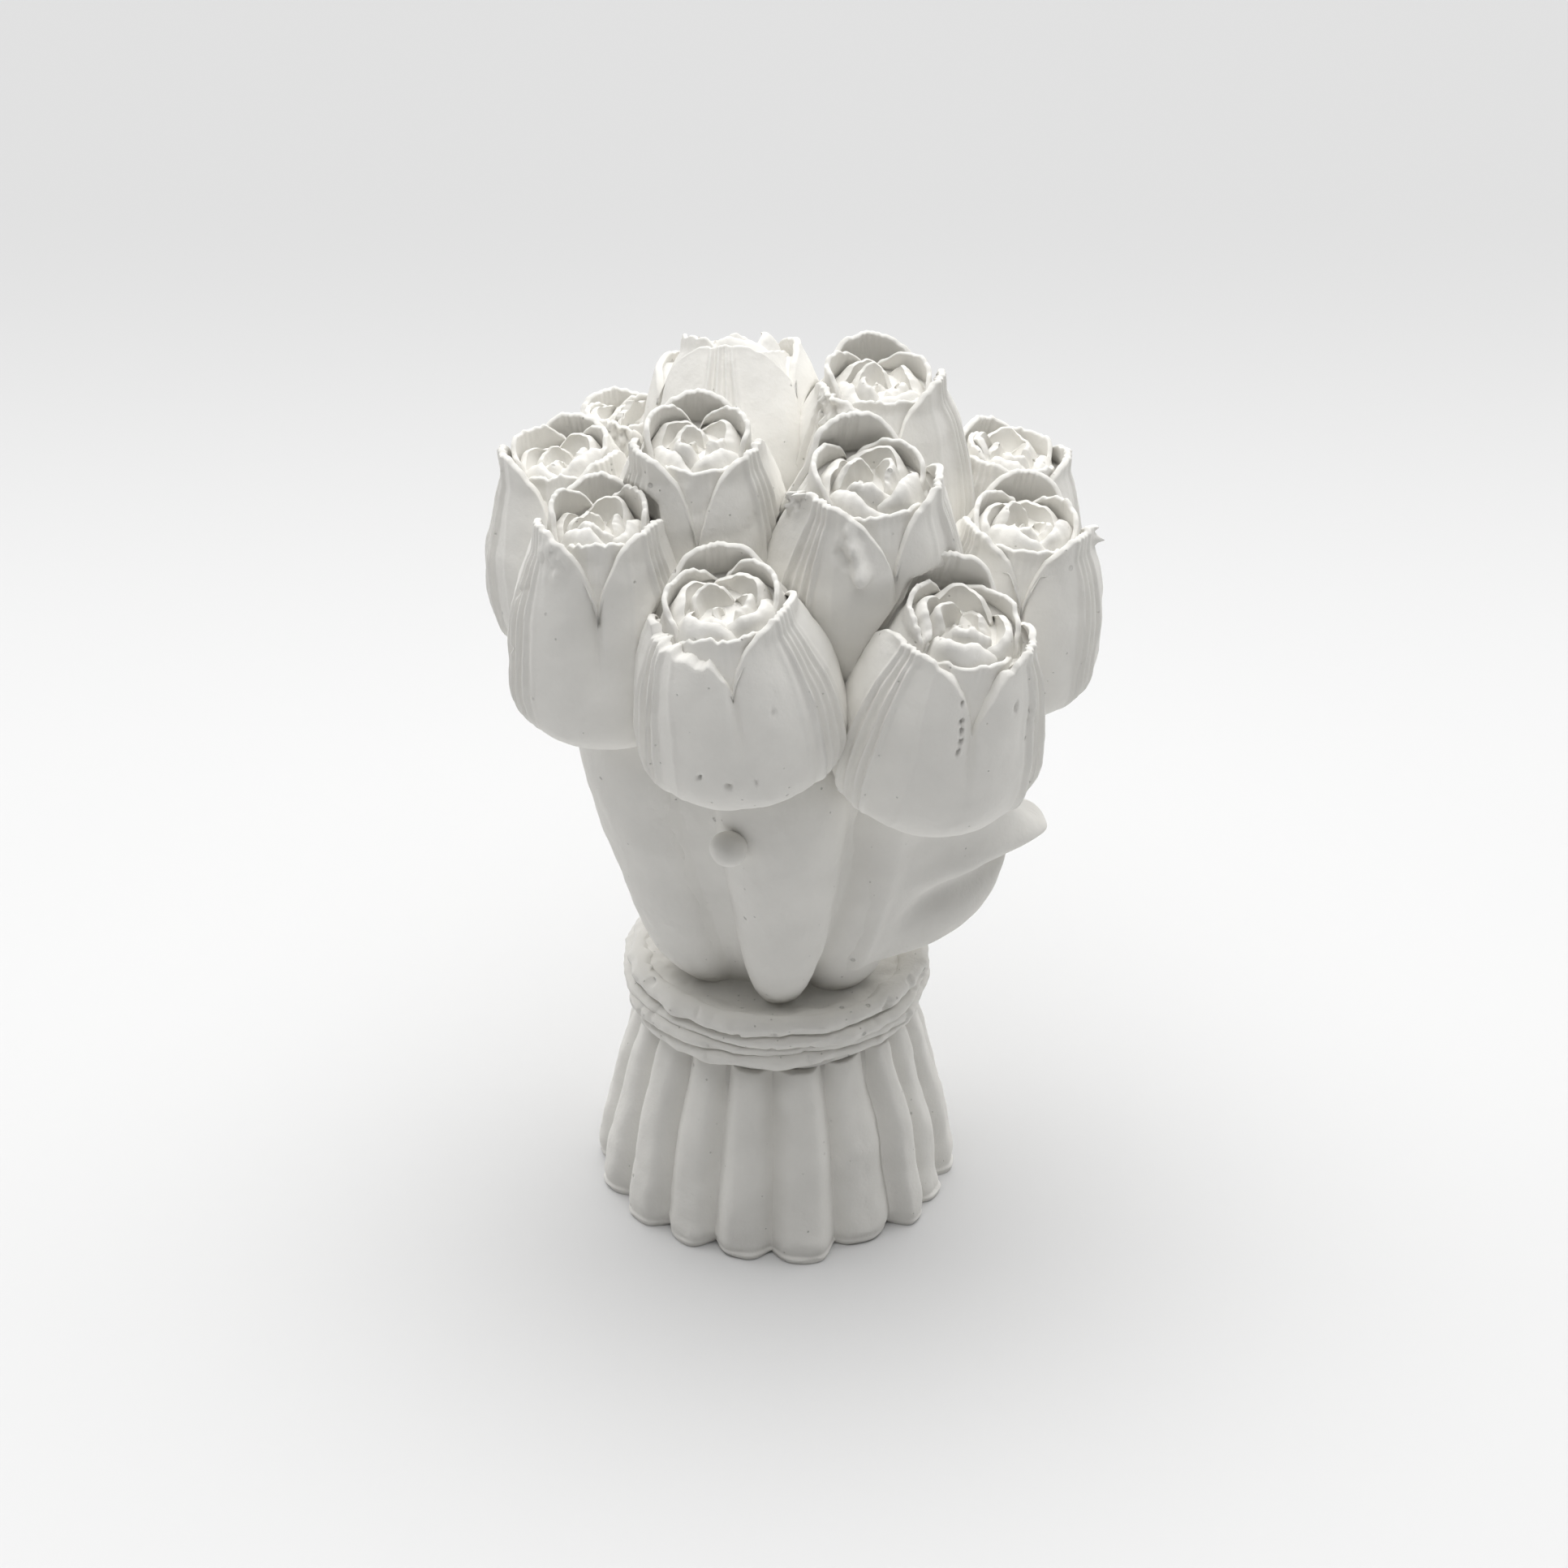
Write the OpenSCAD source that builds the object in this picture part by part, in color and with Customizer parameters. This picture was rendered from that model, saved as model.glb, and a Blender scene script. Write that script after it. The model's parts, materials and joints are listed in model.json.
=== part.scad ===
// Plaster casting of a tied tulip bouquet that stands on the ends of its stems.
// Millimetres, +Z up. The origin is the centre of the flat foot, and the front faces -Y.
// It is cast in one pour. Each sculpted element is a solid of its own, and they meet face to face.

/* [Skirt of stems] */
// Diameter over the stem ends at the foot
foot_d = 44.6; // [43:0.2:46]
// Diameter over the stems where the twine grips them
waist_d = 32; // [31:0.5:33]
// Height of the stems up to the underside of the twine
skirt_h = 24.4; // [23:0.2:26]
// Height of the rounded edge at the bottom of a stem
foot_round = 1.4; // [0.8:0.1:2]
// Depth of the stems in front of the core that they are cast onto
stem_depth = 5; // [4:0.5:6]

/* [Twine] */
// Height of the whole winding
twine_h = 6.8; // [6:0.2:8]
// How far the twine stands out from the waist
twine_out = 2.2; // [1.5:0.1:2.6]
// Slope of the winding, in degrees
twine_tilt = 1.5; // [0:0.5:2]

/* [Neck] */
// Diameter of the neck where it rises from the twine
neck_d = 25; // [23:0.5:27]
// Diameter of the neck just under the flowers
crown_d = 45; // [42:1:46]
// Thickness of a leaf that lies on the neck
leaf_t = 2.2; // [1.5:0.1:3]
// Diameter of the stray casting bead under the front tulip
bead_d = 4.2; // [3:0.2:5]

/* [Flowers] */
// Size of every bulb compared with the real casting
bulb_scale = 1; // [0.96:0.01:1.03]
// Thickness of an outer petal
petal_t = 1.7; // [1.4:0.1:2.2]
// Thickness of an inner petal
inner_t = 1.3; // [1:0.1:1.6]
// Opening of the bulb at its rim, as a share of its largest radius
rim_share = 0.68; // [0.64:0.04:0.72]

/* [Hidden] */
$fn = 64;
eps = 0.01;
far = 60;

// One row per tulip: foot of the bulb, shift of the rim from it, largest radius, and the azimuth
// of one seam between outer petals. Azimuth 0 faces the front and grows to the right.
TULIPS = [
    [[-18.5, -13, 70], [-0.5, -2, 25.5], 10.8, 0],
    [[-3, -20, 68.5], [-2.5, -4, 22.5], 12, 3],
    [[15.5, -16, 63], [4.5, -6, 24.5], 12, 15],
    [[-21, 2, 71.5], [-2.5, 0, 23.5], 10.8, -10],
    [[-8, -4, 78], [-0.5, -3, 23.5], 11, 0],
    [[9, -7, 75], [1, -5, 24.5], 12, 19],
    [[25, -2, 67.5], [2.5, -2, 22.5], 11, 0],
    [[23.5, 16, 66], [3.5, 1, 22], 10.5, 30],
    [[11, 10, 78], [0.5, 0, 22.5], 11.5, 10],
    [[-4, 9, 83], [-1, 9, 18.5], 11.5, 50],
    [[-15, 16, 72.5], [-1.5, 2, 20], 10.5, 30],
    [[-3.5, 24.5, 68.5], [-1, 3, 21.5], 10, 90],
    [[11.5, 24, 68], [1.5, 3, 21.5], 10, 0],
];

// Azimuths of the creases between neighbouring stems, once round from the left
STEM_EDGES = [-82, -62, -41, -22, -2, 21, 44, 58, 74, 92, 113, 134, 155, 176, 197, 218, 239, 260, 278];
STEMS = len(STEM_EDGES) - 1;
TWINE_TURNS = 4;

// Shares of a bulb's height: widest level, floor of the cup, and tops of the petals
BELLY = 0.36;
CUP_FLOOR = 0.72;
OUTER_TOP = 1.04;
INNER_TOP = 0.94;
BUD_TOP = 0.86;
BLUNT = 2.4;
TAPER = 1.9;
PETALS = 3;
PETAL_SECTOR = 118;

front_lead = 1.2;

waist_r = waist_d / 2;
foot_r = foot_d / 2;
waist_z = skirt_h + twine_h;
crown_z = 66;
core_top_z = 86;

function two(i) = str(i < 10 ? "0" : "", i);
function tulip_name(i, what) = str("tulip_", two(i), "_", what);
function stem_name(i) = str("stem_", two(i));
function numbered(base, n) = [for (i = [1:n]) str(base, i)];

plaster = [0.93, 0.93, 0.92];
plaster_shade = [0.88, 0.88, 0.87];
plaster_light = [0.96, 0.96, 0.95];

// ---- geometry of one bulb ----

function unit(v) = v / norm(v);
function foot(i) = TULIPS[i][0];
function lean(i) = TULIPS[i][1] * bulb_scale;
function girth(i) = TULIPS[i][2] * bulb_scale;
function seam(i) = TULIPS[i][3];
function length_of(i) = norm(lean(i));

// Radius at height t for a bulb of unit girth, with t from 0 at its foot to 1 at its rim
function bulge(t) = t < BELLY
    ? pow(max(0, 1 - pow(1 - t / BELLY, BLUNT)), 1 / BLUNT)
    : 1 - (1 - rim_share) * pow((t - BELLY) / (1 - BELLY), TAPER);

// Outline of a bulb from level a to level b, at a wall's depth inside its surface
function bulb_side(r, l, a, b, depth, steps) =
    [for (k = [0:steps]) let (t = a + (b - a) * k / steps) [r * bulge(t) - depth, t * l]];

function backwards(points) = [for (k = [len(points) - 1:-1:0]) points[k]];

// ---- contact planes between neighbouring bulbs ----

// Centre and radius of the slice of bulb i at height z
function level(i, z) = (z - foot(i).z) / lean(i).z;
function slice_centre(i, z) = [foot(i).x + lean(i).x * level(i, z), foot(i).y + lean(i).y * level(i, z)];
function slice_radius(i, z) = girth(i) * bulge(min(1, max(0, level(i, z))));
function rim_z(i) = foot(i).z + lean(i).z;

// How far bulb i pushes bulb j back, because the one nearer to the front keeps more of its petals
function lead(i, j) = front_lead * max(-1, min(1, (foot(j).y - foot(i).y) / 8));

// Point between the slices of bulbs i and j at height z, on the circles' common chord
function chord_point(i, j, z) =
    let (a = slice_centre(i, z), b = slice_centre(j, z), gap = norm(b - a))
    let (reach = (gap * gap + pow(slice_radius(i, z), 2) - pow(slice_radius(j, z), 2)) / (2 * gap))
    let (p = a + (b - a) * (reach + lead(i, j)) / gap)
    [p.x, p.y, z];
function low_z(i, j) = max(foot(i).z, foot(j).z) + 0.2 * lean(i).z;
function high_z(i, j) = max(low_z(i, j) + 4, min(rim_z(i), rim_z(j)));
function plane_normal(i, j) =
    let (p = chord_point(i, j, low_z(i, j)), q = chord_point(i, j, high_z(i, j)))
    let (toward = slice_centre(j, low_z(i, j)) - slice_centre(i, low_z(i, j)))
    unit(cross(q - p, [toward.y, -toward.x, 0]));
function are_neighbours(i, j) =
    i != j && norm(foot(i) + lean(i) * BELLY - foot(j) - lean(j) * BELLY) < girth(i) + girth(j) + 1;

// Half of space on the far side of a plane
module beyond(point, normal) {
    translate(point)
        rotate([0, acos(normal.z), atan2(normal.y, normal.x)])
            translate([-far, -far, 0])
                cube([2 * far, 2 * far, 2 * far]);
}

// Keeps what lies on bulb i's own side of the planes shared with its neighbours
module own_side(i) {
    difference() {
        children();
        for (j = [0:len(TULIPS) - 1])
            if (are_neighbours(i, j))
                beyond(chord_point(i, j, low_z(i, j)), plane_normal(i, j));
    }
}

// ---- pieces of a tulip, drawn upright with the bulb's foot at the origin ----

module in_place(i) {
    swing = atan2(lean(i).y, lean(i).x);
    tip = acos(lean(i).z / length_of(i));
    translate(foot(i))
        rotate([0, 0, swing])
            rotate([0, tip, 0])
                rotate([0, 0, seam(i) - 90 - swing])
                    children();
}

// Bar along +X with an arched top, as wide as a petal at its shoulder
module arch_bar(half_width, top_z) {
    shoulder_z = top_z - half_width;
    translate([0, 0, shoulder_z])
        rotate([0, 90, 0])
            cylinder(r = half_width, h = far / 2);
    translate([0, -far / 2, -eps])
        cube([far / 2, far, shoulder_z + eps]);
}

module outer_petal(r, l) {
    top = OUTER_TOP;
    shell = concat(
        bulb_side(r, l, 0.02, top, 0, 11),
        backwards(bulb_side(r, l, 0.04, top, petal_t, 9))
    );
    intersection() {
        rotate([0, 0, -PETAL_SECTOR / 2])
            rotate_extrude(angle = PETAL_SECTOR)
                polygon(shell);
        arch_bar(0.74 * r, top * l);
    }
}

module tulip_petals(i) {
    color(plaster)
        own_side(i)
            in_place(i)
                for (k = [0:PETALS - 1])
                    rotate([0, 0, 60 + 120 * k])
                        outer_petal(girth(i), length_of(i));
}

module inner_ring(r, l) {
    top = INNER_TOP;
    ring = concat(
        bulb_side(r, l, CUP_FLOOR - 0.04, top, petal_t, 4),
        backwards(bulb_side(r, l, CUP_FLOOR - 0.04, top, petal_t + inner_t, 4))
    );
    for (k = [0:PETALS - 1])
        rotate([0, 0, 120 * k])
            intersection() {
                rotate([0, 0, -PETAL_SECTOR / 2])
                    rotate_extrude(angle = PETAL_SECTOR)
                        polygon(ring);
                arch_bar(0.6 * r, top * l);
            }
}

// Bulb's solid body up to the floor of the cup, with the inner petals and the bud standing on it
module tulip_heart(i) {
    r = girth(i);
    l = length_of(i);
    body = concat([[0, 0], [r * bulge(0.02), 0.02 * l]], bulb_side(r, l, 0.04, CUP_FLOOR, petal_t, 8), [[0, CUP_FLOOR * l]]);
    bud_r = 0.26 * r;
    color(plaster_light)
        own_side(i)
            in_place(i) {
                rotate_extrude()
                    polygon(body);
                inner_ring(r, l);
                translate([0, 0, CUP_FLOOR * l - eps])
                    cylinder(r1 = bud_r * 1.3, r2 = bud_r * 0.6, h = (BUD_TOP - CUP_FLOOR) * l);
            }
}

// Full bulb, to cut its seat in the neck
module bulb_seat(i) {
    r = girth(i);
    l = length_of(i);
    seat = concat([[0, 0]], bulb_side(r, l, 0.02, 0.6, 0, 7), [[0, 0.6 * l]]);
    in_place(i)
        rotate_extrude()
            polygon(seat);
}

// ---- skirt of stems ----

module foot_envelope() {
    rotate_extrude()
        polygon([
            [0, 0],
            [foot_r - foot_round * 0.7, 0],
            [foot_r - foot_round * 0.2, foot_round * 0.4],
            [foot_r, foot_round],
            [foot_r, skirt_h],
            [0, skirt_h]
        ]);
}

module core_cone() {
    cylinder(r1 = foot_r - stem_depth, r2 = waist_r - stem_depth * 0.7, h = skirt_h);
}

module stem_core() {
    color(plaster_shade)
        core_cone();
}

// Wedge between two azimuths, from the floor up to the twine
module stem_wedge(a, b) {
    rotate([0, 0, a - 90])
        rotate_extrude(angle = b - a)
            square([foot_r + 2, skirt_h]);
}

// Round stem that swells and leans out from the waist to the foot
module stem_rod(half_angle) {
    foot_rod = foot_r * sin(half_angle) * 1.02;
    waist_rod = waist_r * sin(half_angle) * 1.05;
    run = (foot_r - foot_rod) - (waist_r - waist_rod);
    slope = atan(run / skirt_h);
    lap = 3;
    grow = (foot_rod - waist_rod) / skirt_h * lap;
    translate([foot_r - foot_rod, 0, 0])
        rotate([0, -slope, 0])
            translate([0, 0, -lap])
                cylinder(r1 = foot_rod + grow, r2 = waist_rod - grow, h = skirt_h / cos(slope) + 2 * lap);
}

module stem(i) {
    a = STEM_EDGES[i - 1];
    b = STEM_EDGES[i];
    color(plaster)
        difference() {
            intersection() {
                stem_wedge(a, b);
                foot_envelope();
                rotate([0, 0, (a + b) / 2 - 90])
                    stem_rod((b - a) / 2);
            }
            core_cone();
        }
}

// ---- waist and twine ----

module waist() {
    color(plaster_shade)
        translate([0, 0, skirt_h])
            cylinder(r = waist_r, h = twine_h);
}

// One turn of twine, with a bulging outer side
module twine(i) {
    turn_h = twine_h / (TWINE_TURNS + 0.5);
    bulge_r = turn_h * 0.7;
    z = skirt_h + turn_h * (i - 0.25);
    side = [for (k = [-4:4]) [waist_r + twine_out - bulge_r + bulge_r * cos(k * 20), turn_h / 2 * sin(k * 22.5)]];
    color(plaster)
        difference() {
            translate([0, 0, z])
                rotate([twine_tilt, 0, 0])
                    rotate_extrude()
                        polygon(concat([[waist_r - 2, -turn_h / 2]], side, [[waist_r - 2, turn_h / 2]]));
            cylinder(r = waist_r, h = far);
            translate([-far, -far, -1])
                cube([2 * far, 2 * far, skirt_h + 1]);
        }
}

// ---- neck, leaves and bead ----

// Radius of the neck's flaring side at height z
function neck_r(z) =
    let (t = (z - waist_z) / (crown_z - waist_z))
    neck_d / 2 + (crown_d - neck_d) / 2 * (1.15 * t + 0.35 * t * t - 0.5 * t * t * t);

NECK_STEPS = 8;
function neck_side(a, b, steps) = [for (k = [0:steps]) let (z = a + (b - a) * k / steps) [neck_r(z), z]];

module neck() {
    crown = [for (k = [1:5]) [crown_d / 2 * cos(k * 18), crown_z + (core_top_z - crown_z) * sin(k * 18)]];
    color(plaster_shade)
        difference() {
            rotate_extrude()
                polygon(concat([[0, waist_z]], neck_side(waist_z, crown_z, NECK_STEPS), crown));
            for (i = [0:len(TULIPS) - 1])
                bulb_seat(i);
        }
}

// Outer side of a leaf, which stands out from the neck by out_low at its base and out_high at its top.
// A flare under 1 turns it outwards early, like a leaf that hangs open.
function leaf_side(low, high, out_low, out_high, flare, steps) = [
    for (k = [0:steps])
        let (t = k / steps, z = low + (high - low) * t)
        [neck_r(z) + out_low + (out_high - out_low) * pow(t, flare), z]
];

// Leaf on the neck between two heights, cut to an oval that faces an azimuth and is broader at its top
module leaf(azimuth, low, high, out_low, out_high, flare, half_width, broader) {
    base_dip = 0.8;
    top_gap = 0.3;
    middle = (low - base_dip + high - top_gap) / 2;
    reach = (high - top_gap) - middle;
    side = concat(neck_side(low, high, 6), backwards(leaf_side(low, high, out_low, out_high, flare, 6)));
    oval = [
        for (a = [0:15:345])
            [half_width * sin(a) * (1 + broader * cos(a)), middle + reach * cos(a)]
    ];
    color(plaster)
        rotate([0, 0, azimuth - 90])
            intersection() {
                rotate([0, 0, -88])
                    rotate_extrude(angle = 176)
                        polygon(side);
                rotate([90, 0, 90])
                    linear_extrude(height = far)
                        polygon(oval);
            }
}

module leaf_left() {
    leaf(-54, waist_z, 66, leaf_t * 0.6, leaf_t * 1.1, 1, 11, 0.3);
}

module leaf_left_back() {
    leaf(-112, waist_z + 3, 66, leaf_t * 0.6, leaf_t, 1, 9.5, 0.3);
}

module leaf_centre() {
    leaf(2, waist_z, 64.5, leaf_t * 0.5, leaf_t * 0.9, 1, 7.5, 0.35);
}

module leaf_right() {
    leaf(57, waist_z, 58, leaf_t * 0.4, leaf_t * 4, 0.4, 13, 0.15);
}

module leaf_right_back() {
    leaf(113, waist_z + 8, 65, leaf_t * 0.6, leaf_t * 1.4, 1, 8, 0.2);
}

module casting_bead() {
    azimuth = -13;
    z = 60;
    color(plaster_light)
        difference() {
            rotate([0, 0, azimuth - 90])
                translate([neck_r(z) + 0.2 * bead_d, 0, z])
                    rotate([0, 90, 0]) sphere(d = bead_d);
            rotate_extrude()
                polygon(concat([[0, waist_z]], neck_side(waist_z, crown_z, NECK_STEPS), [[0, crown_z]]));
        }
}

stem_core();
for (i = [1:STEMS])
    stem(i);
waist();
for (i = [1:TWINE_TURNS])
    twine(i);
neck();
leaf_left();
leaf_left_back();
leaf_centre();
leaf_right();
leaf_right_back();
casting_bead();
for (i = [1:len(TULIPS)])
    tulip_petals(i - 1);
for (i = [1:len(TULIPS)])
    tulip_heart(i - 1);
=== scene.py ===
"""White plaster casting of a tied tulip bouquet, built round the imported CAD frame.

Lengths in this script are millimetres in the frame's own axes (+Z up, front at -Y), and MM turns them
into Blender's metres. Azimuths are degrees, 0 at the front and growing to the right.
"""
import json
import math

import bpy
import numpy as np
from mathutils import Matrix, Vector


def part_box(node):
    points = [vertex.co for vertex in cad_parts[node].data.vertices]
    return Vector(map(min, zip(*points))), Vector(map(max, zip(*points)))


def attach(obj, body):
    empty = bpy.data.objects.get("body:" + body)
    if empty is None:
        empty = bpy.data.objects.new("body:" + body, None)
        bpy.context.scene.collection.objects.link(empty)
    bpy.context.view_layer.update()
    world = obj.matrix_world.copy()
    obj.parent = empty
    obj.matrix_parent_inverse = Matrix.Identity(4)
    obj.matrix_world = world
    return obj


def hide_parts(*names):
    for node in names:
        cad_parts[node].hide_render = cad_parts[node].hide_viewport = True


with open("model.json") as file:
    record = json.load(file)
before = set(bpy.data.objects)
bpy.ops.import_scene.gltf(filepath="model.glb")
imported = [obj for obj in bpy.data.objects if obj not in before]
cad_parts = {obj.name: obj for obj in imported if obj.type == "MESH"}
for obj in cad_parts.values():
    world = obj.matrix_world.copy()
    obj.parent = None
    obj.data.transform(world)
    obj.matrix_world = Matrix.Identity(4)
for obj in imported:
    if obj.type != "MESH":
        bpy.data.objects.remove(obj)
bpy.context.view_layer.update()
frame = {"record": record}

MM = 0.001
TAU = 2 * math.pi

# ---------------------------------------------------------------- layout, as in the CAD source

# Foot of the bulb, shift of its rim, largest radius, azimuth of its front seam
TULIPS = [
    ((-18.5, -13, 70), (-0.5, -2, 25.5), 10.8, 0),
    ((-3, -20, 68.5), (-2.5, -4, 22.5), 12, 3),
    ((15.5, -16, 63), (4.5, -6, 24.5), 12, 15),
    ((-21, 2, 71.5), (-2.5, 0, 23.5), 10.8, -10),
    ((-8, -4, 78), (-0.5, -3, 23.5), 11, 0),
    ((9, -7, 75), (1, -5, 24.5), 12, 19),
    ((25, -2, 67.5), (2.5, -2, 22.5), 11, 0),
    ((23.5, 16, 66), (3.5, 1, 22), 10.5, 30),
    ((11, 10, 78), (0.5, 0, 22.5), 11.5, 10),
    ((-4, 9, 83), (-1, 9, 18.5), 11.5, 50),
    ((-15, 16, 72.5), (-1.5, 2, 20), 10.5, 30),
    ((-3.5, 24.5, 68.5), (-1, 3, 21.5), 10, 90),
    ((11.5, 24, 68), (1.5, 3, 21.5), 10, 0),
]
STEM_EDGES = [-82, -62, -41, -22, -2, 21, 44, 58, 74, 92, 113, 134, 155, 176, 197, 218, 239, 260, 278]
BELLY = 0.36
RIM_SHARE = 0.68

stem_high = np.array(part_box("stem_core")[1]) / MM
waist_high = np.array(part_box("waist")[1]) / MM
SKIRT_H = stem_high[2]
WAIST_R = waist_high[0]
WAIST_Z = waist_high[2]
FOOT_R = 22.3
CROWN_Z = 66
DOME_TOP = 86
SKIN_DEPTH = 0.32  # how far a petal's mean surface lies inside the CAD bulb, which leaves room for its relief


# ---------------------------------------------------------------- small maths

def smooth(low, high, x):
    """0 below low, 1 above high, and an S curve between."""
    k = np.clip((np.asarray(x, float) - low) / (high - low), 0, 1)
    return k * k * (3 - 2 * k)


def hump(x, width):
    return np.exp(-(np.asarray(x) / width) ** 2)


def wrap(angle):
    """An angle in radians brought to -pi..pi."""
    return (np.asarray(angle) + math.pi) % TAU - math.pi


def waves(points, size, seed, count=16):
    """Smooth random relief, mostly within -1..1, with lumps about size mm across."""
    rng = np.random.default_rng(seed)
    way = rng.normal(size=(count, 3))
    way /= np.linalg.norm(way, axis=1)[:, None]
    way *= (math.pi / size * rng.uniform(0.6, 1.5, count))[:, None]
    shape = points.shape[:-1]
    flat = np.sin(points.reshape(-1, 3) @ way.T + rng.uniform(0, TAU, count)).sum(axis=1)
    return (flat / math.sqrt(count)).reshape(shape)


def ragged(angle, per_turn, seed):
    """Random ups and downs round a rim, -1..1, with per_turn of them in a turn."""
    values = np.random.default_rng(seed).uniform(-1, 1, per_turn)
    x = (np.asarray(angle) / TAU % 1) * per_turn
    i = np.floor(x).astype(int)
    f = x - i
    f = f * f * (3 - 2 * f)
    return values[i % per_turn] * (1 - f) + values[(i + 1) % per_turn] * f


def bulge(t):
    """Radius of a bulb of unit girth at level t, 0 at its foot and 1 at its rim."""
    t = np.asarray(t, float)
    low = np.clip(1 - np.clip(1 - t / BELLY, 0, 1) ** 2.4, 0, 1) ** (1 / 2.4)
    rise = np.clip(t - BELLY, 0, None) / (1 - BELLY)
    rise = np.minimum(rise, 0.97) + 0.12 * np.clip(rise - 0.97, 0, None)
    high = 1 - (1 - RIM_SHARE) * rise ** 1.9
    return np.where(t < BELLY, low, high)


def arc_levels(count, last=1.0):
    """Levels from just above the foot to last, evenly spaced along a bulb's outline."""
    t = np.linspace(0, last, 800)
    step = np.hypot(np.diff(bulge(t)) * 11, np.diff(t) * 23)
    way = np.concatenate([[0], np.cumsum(step)])
    return np.interp(np.linspace(0, way[-1], count + 1)[1:], way, t)


# ---------------------------------------------------------------- meshes

def add_piece(name, parts, slot, nodes):
    """One object from a list of (points in mm, faces); rides on the root body and replaces nodes."""
    points, faces, base = [], [], 0
    for p, f in parts:
        points.append(np.asarray(p, float))
        faces += [tuple(int(i) + base for i in face) for face in f]
        base += len(p)
    mesh = bpy.data.meshes.new(name)
    mesh.from_pydata((np.concatenate(points) * MM).tolist(), [], faces)
    mesh.validate()
    mesh.shade_smooth()
    piece = bpy.data.objects.new(name, mesh)
    bpy.context.scene.collection.objects.link(piece)
    piece.data.materials.append(PLASTER[slot])
    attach(piece, "root")
    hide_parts(*nodes)


def grid_faces(rows, columns, closed, flip=False, base=0):
    """Quads between the rows of a grid, joined round the columns if closed."""
    i, j = np.meshgrid(np.arange(rows - 1), np.arange(columns if closed else columns - 1), indexing="ij")
    k = (j + 1) % columns
    quads = np.stack([i * columns + j, i * columns + k, (i + 1) * columns + k, (i + 1) * columns + j], -1)
    quads = quads.reshape(-1, 4) + base
    return (quads[:, ::-1] if flip else quads).tolist()


def closed_rows(rows, start, end):
    """Closed skin from rings of points, drawn together to the points start and end."""
    n, m = rows.shape[:2]
    points = np.concatenate([rows.reshape(-1, 3), [start, end]])
    faces = grid_faces(n, m, True)
    faces += [(n * m, (j + 1) % m, j) for j in range(m)]
    last = (n - 1) * m
    faces += [(n * m + 1, last + j, last + (j + 1) % m) for j in range(m)]
    return points, faces


def closed_slab(front, back):
    """Closed solid between two grids of the same size, seen from the front's side."""
    n, m = front.shape[:2]
    points = np.concatenate([front.reshape(-1, 3), back.reshape(-1, 3)])
    faces = grid_faces(n, m, False) + grid_faces(n, m, False, flip=True, base=n * m)
    ring = [(0, j) for j in range(m)] + [(i, m - 1) for i in range(1, n)]
    ring += [(n - 1, j) for j in range(m - 2, -1, -1)] + [(i, 0) for i in range(n - 2, 0, -1)]
    border = [i * m + j for i, j in ring]
    for a, b in zip(border, border[1:] + border[:1]):
        faces.append((b, a, a + n * m, b + n * m))
    return points, faces


def polar(azimuth, radius, z):
    """Points round the upright axis; azimuth in radians, 0 at the front."""
    azimuth, radius, z = np.broadcast_arrays(azimuth, radius, z)
    return np.stack([radius * np.sin(azimuth), -radius * np.cos(azimuth), z], -1)


# ---------------------------------------------------------------- tulips

class Bulb:
    """Place and shape of one tulip, with its own frame: foot at the origin, rim up its axis."""

    def __init__(self, number):
        foot, lean, self.girth, seam = TULIPS[number - 1]
        self.number = number
        self.foot = np.array(foot, float)
        self.length = float(np.linalg.norm(lean))
        self.seam = math.radians(seam)
        turn = Vector((0, 0, 1)).rotation_difference(Vector(lean)).to_matrix()
        self.turn = np.array(turn)
        self.nearness = foot[1] + BELLY * lean[1]

    def out(self, local):
        return local @ self.turn.T + self.foot

    def into(self, world):
        return (world - self.foot) @ self.turn


BULBS = [Bulb(i + 1) for i in range(len(TULIPS))]


def make_way(bulb, world, depth):
    """Presses points of a bulb back where a bulb nearer to the front stands. depth is how far each
    point lies under the bulb's own skin, which keeps a pressed wall as thick as it was."""
    for other in BULBS:
        if other.nearness >= bulb.nearness:
            continue
        local = other.into(world)
        level = local[..., 2] / other.length
        ray = np.hypot(local[..., 0], local[..., 1])
        wanted = other.girth * bulge(np.clip(level, 0, 1.25)) - 0.7 + depth
        wanted = wanted * (1 - smooth(1.08, 1.2, level))
        pressed = (ray < wanted) & (level > 0) & (level < 1.2) & (ray > 0.01)
        share = np.where(pressed, wanted / np.maximum(ray, 0.01), 1)
        local = local * np.stack([share, share, np.ones_like(share)], -1)
        world = np.where(pressed[..., None], other.out(local), world)
    return world


def column_angles(seams, count):
    """Angles round a cup, closer together near the seams and the ribs between them."""
    fine = np.linspace(-math.pi, math.pi, 2881)[:-1]
    weight = np.ones_like(fine)
    for seam in seams:
        weight += 2.2 * hump(wrap(fine - seam), math.radians(7))
        weight += 0.9 * hump(wrap(fine - seam - TAU / 6), math.radians(16))
    way = np.concatenate([[0], np.cumsum(weight)])
    return np.interp(np.arange(count) / count * way[-1], way, np.append(fine, math.pi))


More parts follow.
